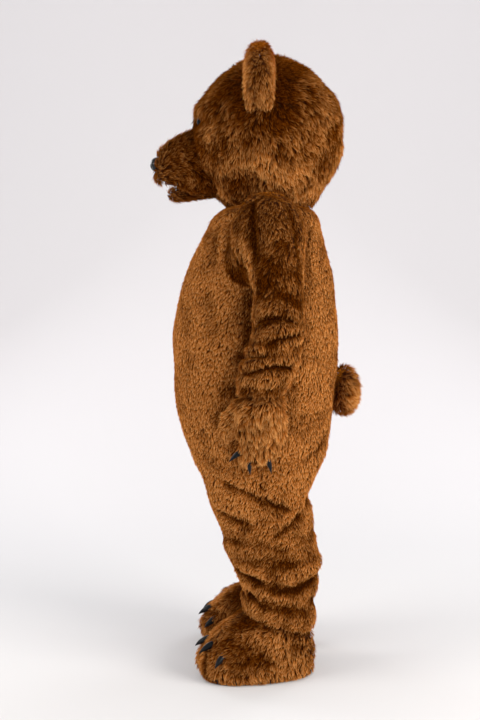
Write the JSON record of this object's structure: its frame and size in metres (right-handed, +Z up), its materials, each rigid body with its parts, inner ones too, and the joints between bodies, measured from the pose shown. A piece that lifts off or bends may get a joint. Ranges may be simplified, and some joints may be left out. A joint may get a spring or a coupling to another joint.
{
  "type": "bear mascot costume",
  "caption": "Full-body bear mascot costume in long brown fur: suit with tail, head, mitts and boots, in its hollow worn form.",
  "frame": {"origin": "the point between the wearer's shoulders that the costume hangs from, on its middle line, 1.44 m above the soles", "axes": "+Z up, the bear faces -Y, its left side is +X"},
  "size_m": [0.849, 0.6555, 1.9022],
  "materials": {
    "brown_fur": "long-pile acrylic fur fabric, brown with darker roots and golden tips",
    "black_lining": "black fleece",
    "black_plastic": "moulded glossy black",
    "zip_tape": "brown woven tape with a closed coil",
    "black_rubber": "foam rubber sheet"
  },
  "bodies": {
    "root": {"boot_left_claw_1": "black_plastic", "boot_left_claw_2": "black_plastic", "boot_left_claw_3": "black_plastic", "boot_left_claw_4": "black_plastic", "boot_left_sole": "black_rubber", "boot_left_upper": "brown_fur", "boot_right_claw_1": "black_plastic", "boot_right_claw_2": "black_plastic", "boot_right_claw_3": "black_plastic", "boot_right_claw_4": "black_plastic", "boot_right_sole": "black_rubber", "boot_right_upper": "brown_fur", "ear_left_back": "brown_fur", "ear_left_front": "brown_fur", "ear_right_back": "brown_fur", "ear_right_front": "brown_fur", "eye_left": "black_plastic", "eye_right": "black_plastic", "head_left": "brown_fur", "head_right": "brown_fur", "mitt_left_back": "brown_fur", "mitt_left_claw_1": "black_plastic", "mitt_left_claw_2": "black_plastic", "mitt_left_claw_3": "black_plastic", "mitt_left_palm": "brown_fur", "mitt_left_thumb": "brown_fur", "mitt_right_back": "brown_fur", "mitt_right_claw_1": "black_plastic", "mitt_right_claw_2": "black_plastic", "mitt_right_claw_3": "black_plastic", "mitt_right_palm": "brown_fur", "mitt_right_thumb": "brown_fur", "mouth_lining": "black_lining", "muzzle_jaw": "brown_fur", "muzzle_upper": "brown_fur", "nose": "black_plastic", "sleeve_left": "brown_fur", "sleeve_right": "brown_fur", "suit_back_left_body": "brown_fur", "suit_back_left_leg": "brown_fur", "suit_back_left_yoke": "brown_fur", "suit_back_right_body": "brown_fur", "suit_back_right_leg": "brown_fur", "suit_back_right_yoke": "brown_fur", "suit_front_left_body": "brown_fur", "suit_front_left_leg": "brown_fur", "suit_front_left_yoke": "brown_fur", "suit_front_right_body": "brown_fur", "suit_front_right_leg": "brown_fur", "suit_front_right_yoke": "brown_fur", "suit_zip": "zip_tape", "tail": "brown_fur", "zip_slider": "black_plastic"}
  },
  "joints": []
}
